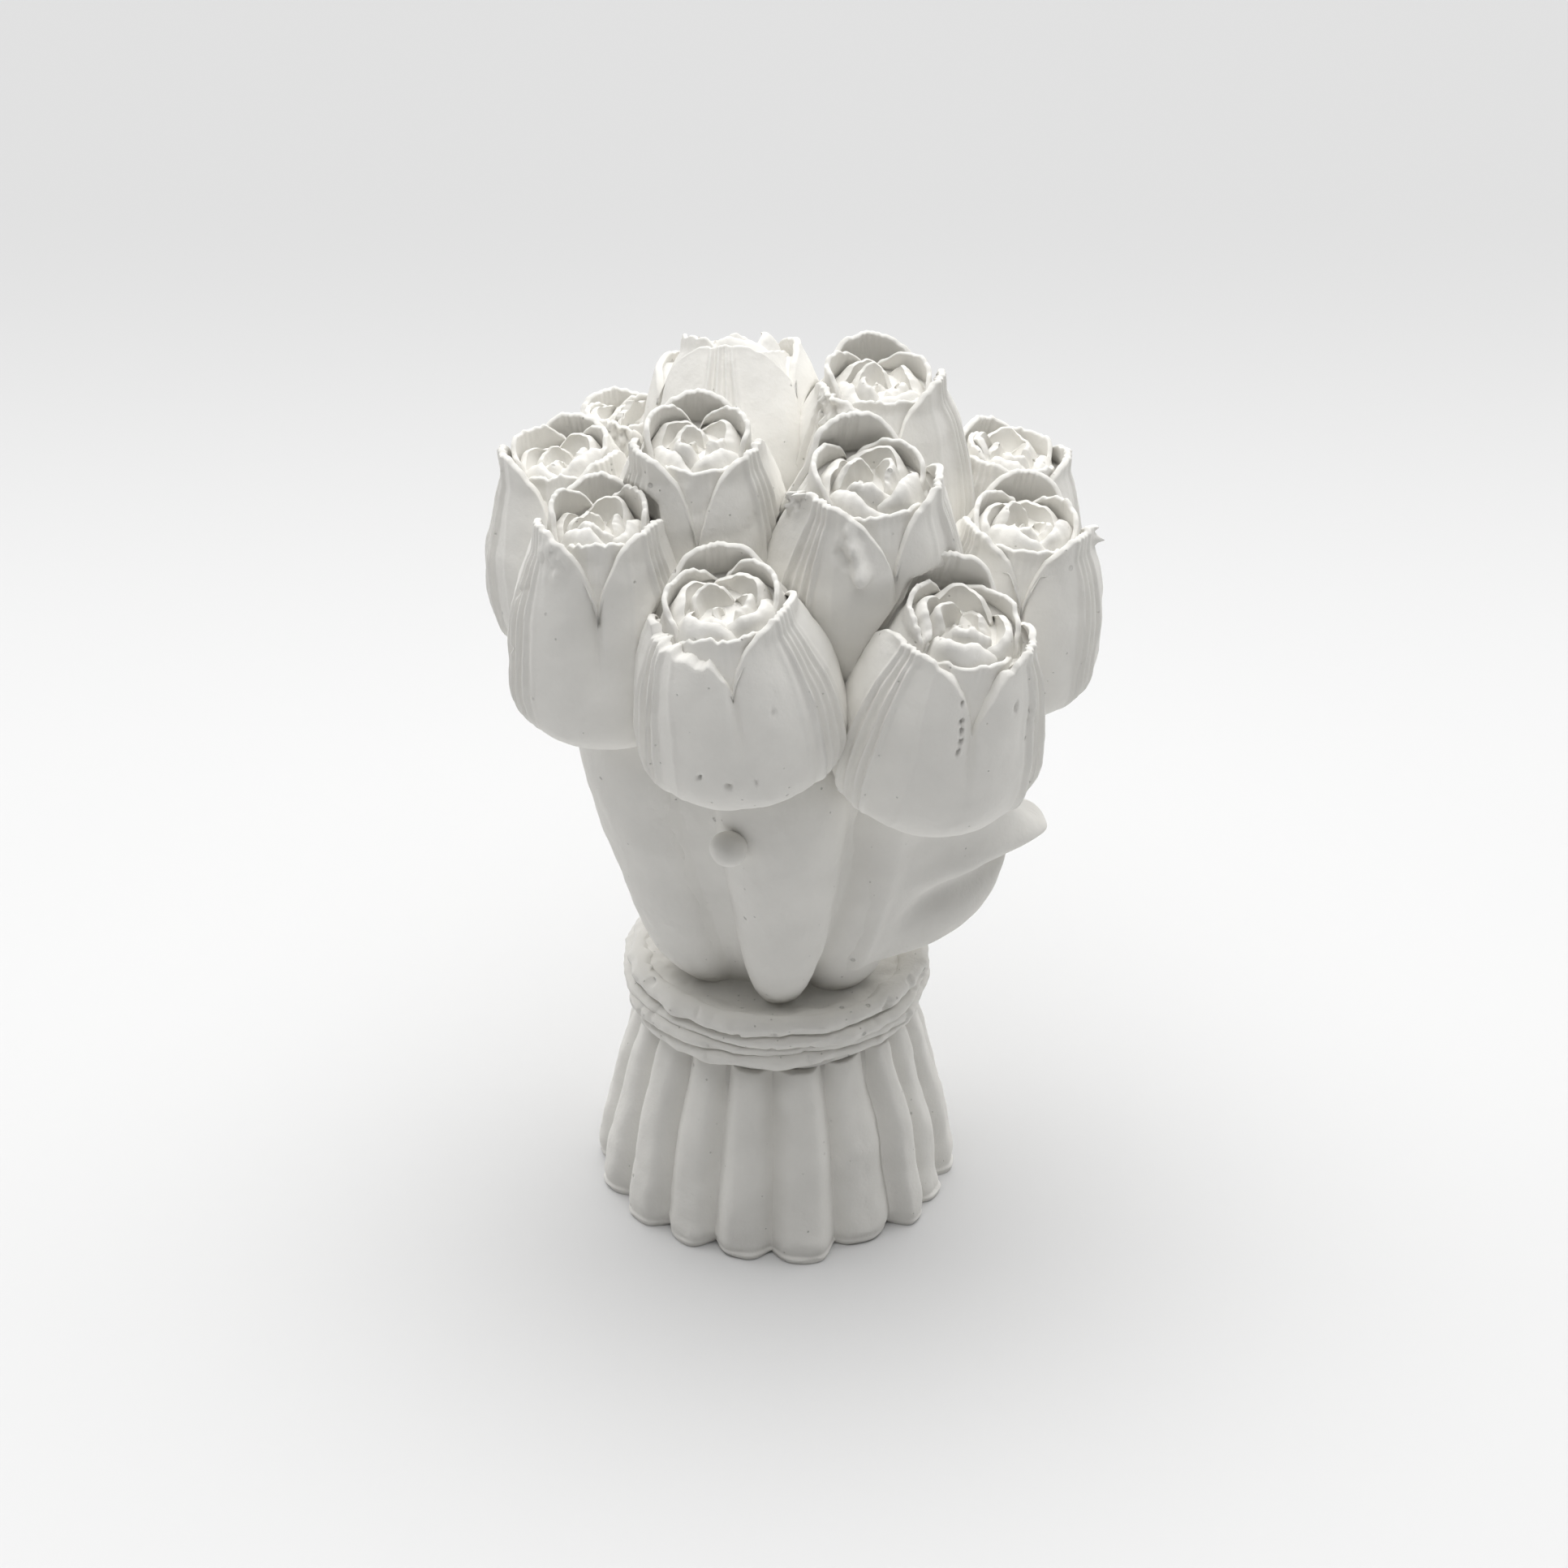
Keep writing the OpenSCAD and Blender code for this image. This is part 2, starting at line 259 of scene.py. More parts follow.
def rim_levels(angles, seams, notch, tips, chips, roughness, seed):
    """Level of the rim at each angle: an arch per petal, with its chips and a worn edge."""
    centres = [wrap(s + TAU / 6) for s in seams]
    level = np.zeros_like(angles)
    for centre, tip in zip(centres, tips):
        u = np.abs(wrap(angles - centre)) / (TAU / 6)
        arch = np.clip(1 - np.clip(u, 0, 1) ** 2.4, 0, 1) ** 0.6
        level = np.maximum(level, notch + (tip - notch) * arch)
    lift = smooth(notch, notch + 0.1, level)
    level += roughness * lift * (0.6 * ragged(angles, 23, seed) + 0.5 * ragged(angles, 67, seed + 1))
    for azimuth, half, height, slope in chips:
        off = np.degrees(wrap(angles - math.radians(azimuth)))
        cut = height + slope * off / half + 0.016 * ragged(angles, 47, seed + 2)
        cut += 0.008 * ragged(angles, 131, seed + 3)
        fade = smooth(half, half * 1.25, np.abs(off))
        level = np.minimum(level, cut + fade)
    return level


def relief(angles, levels, radius, seams, ribs, swap, seed):
    """Creases between petals, overlaps and the fine ribs up the middle of each petal, in mm."""
    total = np.zeros(np.broadcast(angles, levels).shape)
    spread = (0.45 + 0.55 * smooth(0, 0.3, levels)) * (1 - 0.45 * smooth(0.5, 1.05, levels))
    shown = smooth(0.07, 0.22, levels) * (1 - 0.5 * smooth(0.9, 1.05, levels))
    for k, seam in enumerate(seams):
        drift = 0.10 * math.sin(seed + 2.1 * k)
        s = wrap(angles - seam - drift * (levels - 0.7)) * radius
        sharp = smooth(0.38, 0.72, levels)
        soft = smooth(0.2, 0.65, levels)
        total -= 0.45 * sharp * hump(s, 0.45) + 0.60 * soft * hump(s, 2.5)
        side = 1 if (k + swap) % 2 else -1
        total += side * 0.28 * sharp * np.tanh(s / 0.3) * hump(s, 1.8)
        m = wrap(angles - seam - TAU / 6 - 0.06 * math.sin(3 * k + seed)) * radius
        rng = np.random.default_rng(seed * 7 + k)
        for place in (-2.0, -0.75, 0.55, 1.7):
            place = place * 1.05 + rng.uniform(-0.15, 0.15)
            total += 1.25 * ribs * rng.uniform(0.7, 1.2) * shown * hump(m - place * spread, 0.29)
        total -= 0.55 * ribs * shown * hump(m, 2.4 * spread + 0.3)
        for place in rng.uniform(-6.5, 6.5, 2):
            total += 0.3 * ribs * shown * hump(m - place * spread, 0.3)
    return total


def bumpy(world, seed):
    """Soft unevenness of a hand-poured casting, in mm."""
    broad = 0.22 * waves(world, 8, seed) + 0.08 * waves(world, 3, seed + 1)
    return broad + 0.03 * waves(world, 1.1, seed + 2)


def spots(bulb, angles, levels, marks):
    """Sum of round marks on a bulb: each is (azimuth, level, radius, height in mm)."""
    total = np.zeros(np.broadcast(angles, levels).shape)
    for azimuth, level, size, height in marks:
        radius = bulb.girth * bulge(level)
        across = wrap(angles - math.radians(azimuth)) * radius
        up = (levels - level) * bulb.length
        total += height * np.exp(-((across / size) ** 2 + (up / size) ** 2) ** 2)
    return total


def cup(bulb, seams, inset, start, floor, notch, tips, chips=(), wall=1.1, thick=(), ribs=0.52,
        columns=300, rows=64, marks=(), crusts=(), roughness=0.013, swap=0, seed=1):
    """Closed shell of petals: outside up to a scalloped rim, over it and down to a floor inside."""
    angles = column_angles(seams, columns)[None, :]
    rim = rim_levels(angles[0], seams, notch, tips, chips, roughness, seed)[None, :]
    if start:
        levels = start + np.linspace(0, 1, rows)[:, None] * (rim - start)
    else:
        levels = arc_levels(rows)[:, None] * rim
    outer = bulb.girth * bulge(levels) - inset - SKIN_DEPTH
    own = np.minimum(levels, 1.2)
    outer = outer + relief(angles, own, outer, seams, ribs, swap, seed) * min(1, outer.max() / 6)
    outer = outer + spots(bulb, angles, levels, marks)
    heights = levels * bulb.length * np.ones_like(angles)

    def place(radius, height):
        up = height * np.ones_like(angles)
        return np.stack([radius * np.sin(angles), -radius * np.cos(angles), up], -1)

    skin = place(outer, heights)
    world = bulb.out(skin)
    lumps = bumpy(world, bulb.number * 11 + seed)
    for azimuth, level, size, height in crusts:
        mask = spots(bulb, angles, levels, [(azimuth, level, size, 1)])
        crumbs = 1.6 * np.abs(waves(world, 1.0, seed + 5)) + 0.9 * np.abs(waves(world, 0.5, seed + 6))
        lumps = lumps + height * mask * crumbs
    fade = smooth(0, 0.06, levels)
    skin = place(outer + lumps * fade, heights)

    width = wall * (1 - 0.25 * smooth(0.6, 1.0, rim))
    for azimuth, half, extra in thick:
        off = np.degrees(wrap(angles - math.radians(azimuth)))
        width = width + extra * (1 - smooth(half * 0.7, half * 1.2, np.abs(off)))
    edge = outer[-1:] + lumps[-1:]
    lip = []
    for turn in (25, 55, 90, 125, 155, 180):
        a = math.radians(turn)
        worn = 0.06 * waves(bulb.out(place(edge, heights[-1:])), 0.8, seed + 8)
        lip.append(place(edge - width / 2 * (1 - math.cos(a)), heights[-1:] + (0.25 + worn) * math.sin(a)))
    depth = [np.zeros(skin.shape[:2])] + [np.minimum(0.6, width * 0.5) * np.ones((1, columns))] * len(lip)
    inner_rows = 10
    base = np.minimum(floor, rim - 0.02)
    inside = []
    for k in range(1, inner_rows + 1):
        level = rim + (base - rim) * k / inner_rows
        lean = (edge - bulb.girth * bulge(rim) + inset) * (1 - k / inner_rows)
        radius = bulb.girth * bulge(level) - inset - width + lean
        inside.append(place(radius, level * bulb.length))
    depth += [width * np.ones((1, columns))] * inner_rows
    last = bulb.girth * bulge(base) - inset - width
    for k in range(1, 6):
        share = 1 - k / 6
        inside.append(place(last * share, (floor + (base - floor) * share ** 2) * bulb.length))
        depth.append(width + last * (1 - share))
    local = np.concatenate([skin] + lip + inside)
    world = make_way(bulb, bulb.out(local), np.concatenate(depth))
    foot = bulb.out(np.array([0, 0, start * bulb.length if start else 0.0]))
    middle = bulb.out(np.array([0, 0, floor * bulb.length]))
    return closed_rows(world, foot, middle)


def ruffle(bulb, azimuth, half, radius, spiral, base, top, lean, thick, seed):
    """Small petal with an arched, softly waved crest that stands inside a cup, as a closed slab."""
    rng = np.random.default_rng(seed)
    columns, rows = 44, 18
    u = np.linspace(-1, 1, columns)[None, :]
    v = np.linspace(0, 1, rows)[:, None]
    phase = rng.uniform(0, TAU, 4)
    drop = min(2.2, half * 0.045)
    crest = top * bulb.length - drop * np.abs(u) ** 2.2 + 0.22 * np.sin(3.1 * u + phase[0])
    crest = crest + 0.13 * np.sin(8.3 * u + phase[1]) + 0.05 * np.sin(21 * u + phase[2])
    height = base * bulb.length + (crest - base * bulb.length) * np.sin(v * math.pi / 2)
    angle = math.radians(azimuth) + u * math.radians(half)
    middle = radius * (1 + spiral * u) - lean * v ** 2 + 0.45 * v * np.sin(3.6 * u + phase[3])
    width = (0.5 + (thick - 0.5) * (1 - v) ** 1.7) * np.sqrt(np.clip(1.02 - np.abs(u) ** 4, 0, 1))
    width = width * np.sqrt(np.clip(1.06 - v ** 8, 0, 1))

    def side(shift):
        r = np.maximum(middle + shift * width, 0.15)
        return np.stack([r * np.sin(angle), -r * np.cos(angle), height * np.ones_like(r)], -1)

    front, back = bulb.out(side(0.5)), bulb.out(side(-0.5))
    wobble = 0.10 * waves(front, 1.8, seed + 3)[..., None]
    way = (front - back) / np.maximum(np.linalg.norm(front - back, axis=-1, keepdims=True), 1e-6)
    front, back = front + way * wobble, back + way * wobble
    front = make_way(bulb, front, np.full(front.shape[:2], 3.0))
    back = make_way(bulb, back, np.full(back.shape[:2], 3.8))
    return closed_slab(front, back)


# What each tulip has of its own. tips are the levels of its three outer petals, counted from the one right
# of the front seam, and inner those of the petals behind the seams, counted from the front. A chip is
# (azimuth, half width, level, slope), thick widens the rim where it is broken, and marks and crusts are
# (azimuth, level, size in mm, height in mm).
HABITS = {
    1: dict(tips=(1.09, 1.10, 1.10), inner=(1.05, 1.12, 1.12), notch=0.74,
            marks=[(-58, 0.84, 0.3, -0.6), (-66, 0.8, 0.25, -0.6), (-70, 0.58, 0.3, -0.6),
                   (-66, 0.52, 0.25, -0.5)],
            crusts=[(-38, 1.0, 2.2, 0.25)]),
    2: dict(tips=(1.07, 1.12, 1.02), inner=(1.03, 1.10, 1.08), notch=0.78,
            chips=[(-40, 33, 0.955, -0.01)], thick=[(-40, 34, 1.0)],
            marks=[(-22, 0.39, 0.27, -0.7), (-6, 0.35, 0.36, -0.8), (9, 0.36, 0.25, -0.4),
                   (25, 0.7, 0.25, -0.4)]),
    3: dict(tips=(1.04, 1.14, 1.02), inner=(1.0, 1.06, 1.08), notch=0.70,
            chips=[(16, 30, 1.0, 0.0)], thick=[(14, 28, 0.7)],
            marks=[(3, 0.88, 0.26, -0.7), (5, 0.8, 0.32, -0.8), (6, 0.76, 0.28, -0.7), (7, 0.71, 0.3, -0.7),
                   (6, 0.67, 0.25, -0.6), (44, 0.84, 0.3, -0.8), (60, 0.72, 0.36, -0.8),
                   (60, 0.78, 0.28, -0.7)]),
    4: dict(tips=(1.08, 1.10, 1.12), inner=(1.02, 1.10, 1.10), notch=0.74),
    5: dict(tips=(1.07, 1.11, 1.09), inner=(1.02, 1.10, 1.11), notch=0.66),
    6: dict(tips=(1.08, 1.16, 1.06), inner=(1.02, 1.08, 1.10), notch=0.72,
            crusts=[(-82, 1.03, 2.8, 0.55)],
            marks=[(-15, 1.0, 0.7, 0.7), (-12, 0.96, 0.65, 1.0), (-9, 0.925, 0.7, 1.2), (-6, 0.88, 0.75, 1.3),
                   (-4, 0.83, 0.95, 1.9), (-20, 0.89, 0.7, -0.6), (-15, 0.86, 0.6, -0.6)]),
    7: dict(tips=(1.08, 1.12, 1.06), inner=(1.02, 1.08, 1.08), notch=0.72,
            crusts=[(98, 1.06, 2.6, 0.5)]),
    8: dict(tips=(1.06, 1.08, 1.06), inner=(1.02, 1.06, 1.06), notch=0.72),
    9: dict(tips=(1.10, 1.13, 1.06), inner=(1.02, 1.08, 1.10), notch=0.70,
            crusts=[(-40, 0.98, 3.0, 0.35), (130, 1.08, 3.2, 0.7)]),
    10: dict(tips=(1.02, 0.98, 0.99), inner=(0.95, 0.96, 1.06), notch=0.70, crusts=[(-90, 1.05, 2.0, 0.3)]),
    11: dict(tips=(1.08, 1.06, 1.10), inner=(1.04, 1.05, 1.06), notch=0.74, crusts=[(-10, 1.05, 3.0, 0.5)]),
    12: dict(tips=(1.06, 1.08, 1.04), inner=(1.02, 1.05, 1.05), notch=0.72),
    13: dict(tips=(1.08, 1.05, 1.08), inner=(1.0, 1.05, 1.05), notch=0.72),
}
CUP_FLOOR = 0.955
HEART_BASE = CUP_FLOOR - 0.03


def make_tulip(bulb):
    habit = HABITS[bulb.number]
    outer_seams = [bulb.seam + k * TAU / 3 for k in range(3)]
    inner_seams = [s - TAU / 6 for s in outer_seams]
    seed = bulb.number * 31
    damage = {kind: habit.get(kind, ()) for kind in ("chips", "thick", "marks", "crusts")}
    petals = cup(bulb, outer_seams, 0, 0, HEART_BASE, habit["notch"], habit["tips"], swap=bulb.number,
                 seed=seed, **damage)
    name = f"tulip_{bulb.number:02d}"
    add_piece(name + "_outer_petals", [petals], "plaster_petals", [name + "_petals"])
    inner = cup(bulb, inner_seams, 1.55, 0.5, CUP_FLOOR, 0.90, habit["inner"], wall=0.8, ribs=0.1,
                columns=200, rows=30, roughness=0.016, swap=bulb.number + 1, seed=seed + 9)
    parts = [inner]
    rng = np.random.default_rng(seed)
    turn = math.degrees(bulb.seam) + rng.uniform(20, 70)
    for k in range(4):
        parts.append(ruffle(bulb, turn + 90 * k, 52 + rng.uniform(-8, 8), 0.41 * bulb.girth, 0.12,
                            HEART_BASE, 1.06 + rng.uniform(-0.04, 0.03), 0.8, 2.5, seed + k))
    for k in range(3):
        parts.append(ruffle(bulb, turn + 40 + 120 * k, 60, 0.235 * bulb.girth, 0.2,
                            HEART_BASE, 1.06 + rng.uniform(-0.04, 0.03), 0.5, 2.3, seed + 10 + k))
    parts.append(ruffle(bulb, turn + 200, 120, 0.06 * bulb.girth, 0.1, HEART_BASE, 1.01, 0.1, 1.3, seed + 20))
    add_piece(name + "_inner_petals", parts, "plaster_hearts", [name + "_heart"])


# ---------------------------------------------------------------- neck, leaves and bead

def neck_r(z):
    """Radius of the bare neck at height z, as in the CAD."""
    t = np.clip((np.asarray(z, float) - WAIST_Z) / (CROWN_Z - WAIST_Z), 0, 1)
    return 12.5 + 10 * (1.15 * t + 0.35 * t ** 2 - 0.5 * t ** 3)


def join(a, b, soft):
    """The larger of two heights, with a fillet about soft mm wide where they meet."""
    h = np.clip(soft - np.abs(a - b), 0, None) / soft
    return np.maximum(a, b) + h * h * soft / 4


# Leaves that lie on the neck: azimuth, lowest and highest z, half width, how much broader at the top,
# thickness, and how far the lower end bulges
LYING = {
    "leaf_left": (-61, 28.6, 74, 9.4, 0.25, 3.9, 1.3),
    "leaf_left_back": (-112, 29.5, 70, 9.5, 0.3, 3.4, 0.2),
    "leaf_centre": (2.5, 28.4, 72, 6.9, 0.42, 4.6, 0.9),
    "right_lobe": (53, 28.6, 62, 7.8, 0.06, 3.9, 1.6),
    "back_lobe": (166, 28.6, 72, 8.4, 0.4, 3.9, 0.5),
    "side_lobe": (-162, 28.6, 72, 7.6, 0.35, 3.3, 0.3),
}


# Pits low on the middle leaf: azimuth, z, radius and depth in mm
TONGUE_PITS = [
    (-13, 43.5, 0.35, 0.4), (-9, 41.8, 0.3, 0.4), (-5, 41.2, 0.4, 0.45), (-1, 40.8, 0.3, 0.4),
    (3, 41.0, 0.35, 0.4), (7, 41.5, 0.3, 0.3), (-7, 39.6, 0.35, 0.4), (-3, 39.1, 0.3, 0.45),
    (1, 38.7, 0.35, 0.4), (-10, 44.8, 0.3, 0.3), (-1, 37.2, 0.4, 0.5), (-15, 41.0, 0.3, 0.3),
    (-4, 45.5, 0.3, 0.3),
]


def leaf_height(leaf, azimuth, z):
    """How far a lying leaf stands out from the bare neck; negative outside its outline."""
    middle, low, high, half, broader, thick, toe = leaf
    v = (z - (low + high) / 2) / ((high - low) / 2)
    turn = wrap(azimuth - math.radians(middle))
    across = neck_r(z) * np.sin(turn) / (half * (1 + broader * np.clip(v, -1, 1)))
    behind = np.cos(turn) < 0
    q = np.where(behind, 3.0, np.sqrt(np.abs(across) ** 2.3 + np.abs(v) ** 5))
    top = thick + toe * hump(v + 0.78, 0.2)
    return np.where(q < 1, top * np.clip(1 - q ** 2.1, 0, 1) ** 0.72, (1 - q) * 4)


def neck_ground(azimuth, z):
    """Bare neck with the soft unevenness that the leaves lie on."""
    point = polar(azimuth, neck_r(z), z)
    return neck_r(z) + 0.3 * waves(point, 9, 401) - 2.3 - 1.2 * smooth(42, 32, z)


def neck_outline(azimuth, z):
    """Radius of the neck with the lobes and leaves that lie on it."""
    bare = neck_ground(azimuth, z)
    total = bare
    top = np.full(bare.shape, -9.0)
    for leaf in LYING.values():
        height = leaf_height(leaf, azimuth, z)
        total = join(total, bare + height, 1.5)
        top = np.maximum(top, height)
    return total - 0.10 * smooth(0.2, 0.7, top)


def make_neck():
    low, high = WAIST_Z - 1.4, 85.6
    azimuth = np.linspace(-math.pi, math.pi, 421)[:-1][None, :]
    z = np.linspace(low, high, 150)[:, None] * np.ones_like(azimuth)
    dome = np.sqrt(1 - np.clip((z - CROWN_Z) / (DOME_TOP - CROWN_Z), 0, 1) ** 2)
    points = polar(azimuth, neck_outline(azimuth, z) * dome, z)
    points = points + unit_out(azimuth) * (0.05 * waves(points, 1.6, 402))[..., None]
    add_piece("neck_body", [closed_rows(points, (0, 0, low), (0, 0, high))], "plaster_leaves", ["neck"])


def unit_out(azimuth):
    azimuth = np.asarray(azimuth)
    return np.stack([np.sin(azimuth), -np.cos(azimuth), np.zeros_like(azimuth)], -1)


def make_lying_leaf(name, pits=()):
    leaf = LYING[name]
    middle, low, high, half, broader, thick, _ = leaf
    v = np.sin(np.linspace(-1, 1, 110) * math.pi / 2)[:, None]
    u = np.sin(np.linspace(-1, 1, 90) * math.pi / 2)[None, :]
    z = (low + high) / 2 + v * (high - low) / 2 * 0.999 * np.ones_like(u)
    width = half * (1 + broader * v) * np.clip(1 - np.abs(v) ** 5, 1e-4, 1) ** (1 / 2.3) * u
    azimuth = math.radians(middle) + np.arcsin(np.clip(width / neck_r(z), -0.98, 0.98))
    bare = neck_ground(azimuth, z)
    height = leaf_height(leaf, azimuth, z)
    edge = np.clip(np.maximum(np.abs(u), np.abs(v)), 0, 1) ** 30
    skin = polar(azimuth, bare + height, z)
    lumps = 0.10 * waves(skin, 5, 411) + 0.035 * waves(skin, 1.3, 412)
    for place, level, size, deep in pits:
        at = polar(math.radians(place), neck_r(level) + thick, level)
        lumps = lumps - deep * np.exp(-(np.linalg.norm(skin - at, axis=-1) / size) ** 4)
    front = polar(azimuth, bare + height * (1 - edge) + lumps - 0.3 * edge, z)
    back = polar(azimuth, bare - 1.2, z)
    add_piece(name + "_blade", [closed_slab(front, back)], "plaster_leaves", [name])


def make_right_leaf():
    """Broad leaf that hangs open on the right, with a fold across it and a curled tip."""
    v = np.linspace(0, 1, 110)[:, None]
    u = np.linspace(-1, 1, 130)[None, :]
    low = 35.0 - 0.5 * smooth(-0.4, 0.3, u) + 9.0 * smooth(0.25, 1.05, u) ** 1.3
    high = 62.0 - 3.0 * smooth(-0.4, 0.5, u) - 7.5 * smooth(0.2, 0.9, u)
    z = low + (high - low) * v
    azimuth = np.radians(60 + 35 * u) * np.ones_like(v)
    out = 3.9 * smooth(-1, -0.55, u) - 2.4 + 8.6 * smooth(-0.5, 0.8, u) * smooth(-0.25, 0.32, v + 0.15 * u)
    out = out - 2.5 * smooth(0.6, 1.0, v) * smooth(-0.2, 0.9, u) * (1 - 0.9 * smooth(0.5, 1, u))
    fold = v - 0.56 - 0.22 * (u - 0.5)
    shown = smooth(-0.45, 0.2, u)
    out = out - 2.4 * shown * hump(fold + 0.05, 0.12) + 1.5 * shown * hump(fold - 0.13, 0.10)
    tip = np.sqrt(((u - 0.74) / 0.26) ** 2 + ((v - 0.78) / 0.14) ** 2)
    out = out + 1.9 * hump(tip, 1.0)
    skin = polar(azimuth, neck_r(z) + out, z)
    lumps = 0.18 * waves(skin, 7, 421) + 0.04 * waves(skin, 1.4, 422)
    rim = np.clip(1 - np.abs(u) ** 10, 0, 1) ** 0.5 * np.clip(1 - np.abs(2 * v - 1) ** 14, 0, 1) ** 0.5
    thick = 2.6 * smooth(-1.2, -0.3, u) + 1.2
    front = polar(azimuth, neck_r(z) + out + lumps - thick / 2 * (1 - rim), z)
    back_gap = thick / 2 * (1 + rim)
    back = polar(azimuth, neck_r(z) + out - back_gap - 0.02, z)
    add_piece("leaf_right_blade", [closed_slab(front, back)], "plaster_leaves", ["leaf_right"])


def make_right_back_leaf():
    """Small rounded leaf behind the open one."""
    v = np.linspace(0, 1, 70)[:, None]
    u = np.linspace(-1, 1, 60)[None, :]
    arch = np.sqrt(np.clip(1.001 - u ** 2, 0, 1))
    z = 40 + (48 + 12.5 * arch - 40) * v
    azimuth = np.radians(112 + 24 * u) * np.ones_like(v)
    out = 0.2 + 7.0 * smooth(0.0, 1.0, v) * (0.5 + 0.5 * arch)
    skin = polar(azimuth, neck_r(z) + out, z)
    lumps = 0.15 * waves(skin, 6, 431)
    rim = np.clip(1 - np.abs(u) ** 8, 0, 1) ** 0.5 * np.clip(1 - v ** 10, 0, 1) ** 0.5
    front = polar(azimuth, neck_r(z) + out + lumps - 1.2 * (1 - rim), z)
    back = polar(azimuth, neck_r(z) + out - 1.25 * (1 + rim), z)
    add_piece("leaf_right_back_blade", [closed_slab(front, back)], "plaster_leaves", ["leaf_right_back"])


def make_bead():
    low, high = (np.array(c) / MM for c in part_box("casting_bead"))
    centre, radius = (low + high) / 2 + (-0.2, -1.3, 0.3), (high - low) / 2
    polar_angle = np.linspace(0.04, math.pi - 0.04, 40)[:, None]
    turn = np.linspace(0, TAU, 61)[:-1][None, :]
    way = np.stack([np.sin(polar_angle) * np.cos(turn), np.sin(polar_angle) * np.sin(turn),
                    -np.cos(polar_angle) * np.ones_like(turn)], -1)
    size = 1 + 0.05 * waves(way * 3, 3, 441)
    points = centre + way * radius * size[..., None]
    add_piece("stray_bead", [closed_rows(points, centre - (0, 0, radius[2]), centre + (0, 0, radius[2]))],
              "plaster_leaves", ["casting_bead"])


# ---------------------------------------------------------------- stems

# How far each stem stands out beyond the skirt's mean surface
STEM_OUT = [0.1, 0.3, -0.4, 0.0, 0.5, -0.8, 0.4, -0.2, 0.35, -0.3, 0.4, -0.4, 0.3, -0.2, 0.4, -0.4, 0.1, 0.3]


def make_stem(number):
    """One stem of the skirt: rounded across, swelling to the foot, with a rounded end on a thin lip."""
    a, b = math.radians(STEM_EDGES[number - 1]), math.radians(STEM_EDGES[number])
    rng = np.random.default_rng(500 + number)
    u = np.sin(np.linspace(-1, 1, 56) * math.pi / 2)[None, :]
    ends = (np.linspace(0, 0.9, 8)[:-1], np.linspace(0.9, 5, 26)[:-1])
    heights = np.concatenate([*ends, np.linspace(5, SKIRT_H + 1.2, 60)])
    z = heights[:, None] * np.ones_like(u)
    t = z / SKIRT_H
    sway = 0.012 * np.sin(3.3 * t + rng.uniform(0, TAU))
    azimuth = (a + b) / 2 + sway * np.sin(t * math.pi) + u * ((b - a) / 2 + 0.02)
    mean = WAIST_R + (FOOT_R - 0.5 - WAIST_R) * (1 - t) ** 0.92 + 0.55 * np.sin(np.clip(t, 0, 1) * math.pi)
    half = mean * (b - a) / 2
    across = np.abs(u)
    valley = 2.05 * (half / 3.6) ** 0.6 * (0.5 - 0.5 * np.cos(math.pi * across ** 1.7))
    end = 2.8 + rng.uniform(-0.6, 0.8)
    foot = 0.9 * np.clip(1 - z / end, 0, 1) ** 2.2 * (1 + 0.8 * across ** 2)
    lip = 0.35 * smooth(1.1, 0.6, z) * (1 + 0.4 * math.sin(number * 1.7))
    own, left, right = (STEM_OUT[(number - 1 + k) % len(STEM_OUT)] for k in (0, -1, 1))
    beside = np.where(u < 0, (own + left) / 2, (own + right) / 2)
    out = (own + (beside - own) * smooth(0.3, 1.0, across)) * (1 - 0.5 * t)
    place = polar(azimuth, mean, z)
    lumps = 0.22 * waves(place, 5, 510) + 0.06 * waves(place, 1.7, 511)
    lumps = lumps + 0.12 * waves(place, 2.5, 512) * smooth(4, 0, z)
    radius = np.minimum(mean + 0.15 + out - valley - foot + lip + lumps, FOOT_R - 0.02)
    front = polar(azimuth, radius, z)
    back = polar(azimuth, np.minimum(mean, radius) - 4.6, z)
    name = f"stem_{number:02d}"
    add_piece(name + "_rod", [closed_slab(front, back)], "plaster_stems", [name])


def revolve(profile, columns, seed, strength):
    """Closed, slightly uneven body of revolution from (radius, z) points, bottom to top."""
    azimuth = np.linspace(-math.pi, math.pi, columns + 1)[:-1][None, :]
    radius = np.array([p[0] for p in profile])[:, None]
    z = np.array([p[1] for p in profile])[:, None] * np.ones_like(azimuth)
    points = polar(azimuth, radius, z)
    rise = strength * (waves(points, 3, seed) + 0.5 * waves(points, 1.1, seed + 1))
    points = points + rise[..., None] * [0, 0, 1]
    return closed_rows(points, (0, 0, profile[0][1]), (0, 0, profile[-1][1]))


def make_core():
    wall = FOOT_R - 3.4
    profile = [(r, 0.45) for r in np.linspace(0.5, wall - 1, 24)] + [(wall - 0.5, 0.5), (wall, 0.8)]
    profile += [(wall - 4 * k / 6, 0.8 + (SKIRT_H - 0.8) * k / 6) for k in range(1, 7)] + [(0.5, SKIRT_H)]
    add_piece("stem_core_body", [revolve(profile, 160, 520, 0.12)], "plaster_stems", ["stem_core"])


# ---------------------------------------------------------------- waist and twine

def front_rise(azimuth):
    """How far the winding climbs at the front, in mm."""
    return 1.1 * (0.5 + 0.5 * np.cos(azimuth)) ** 1.5


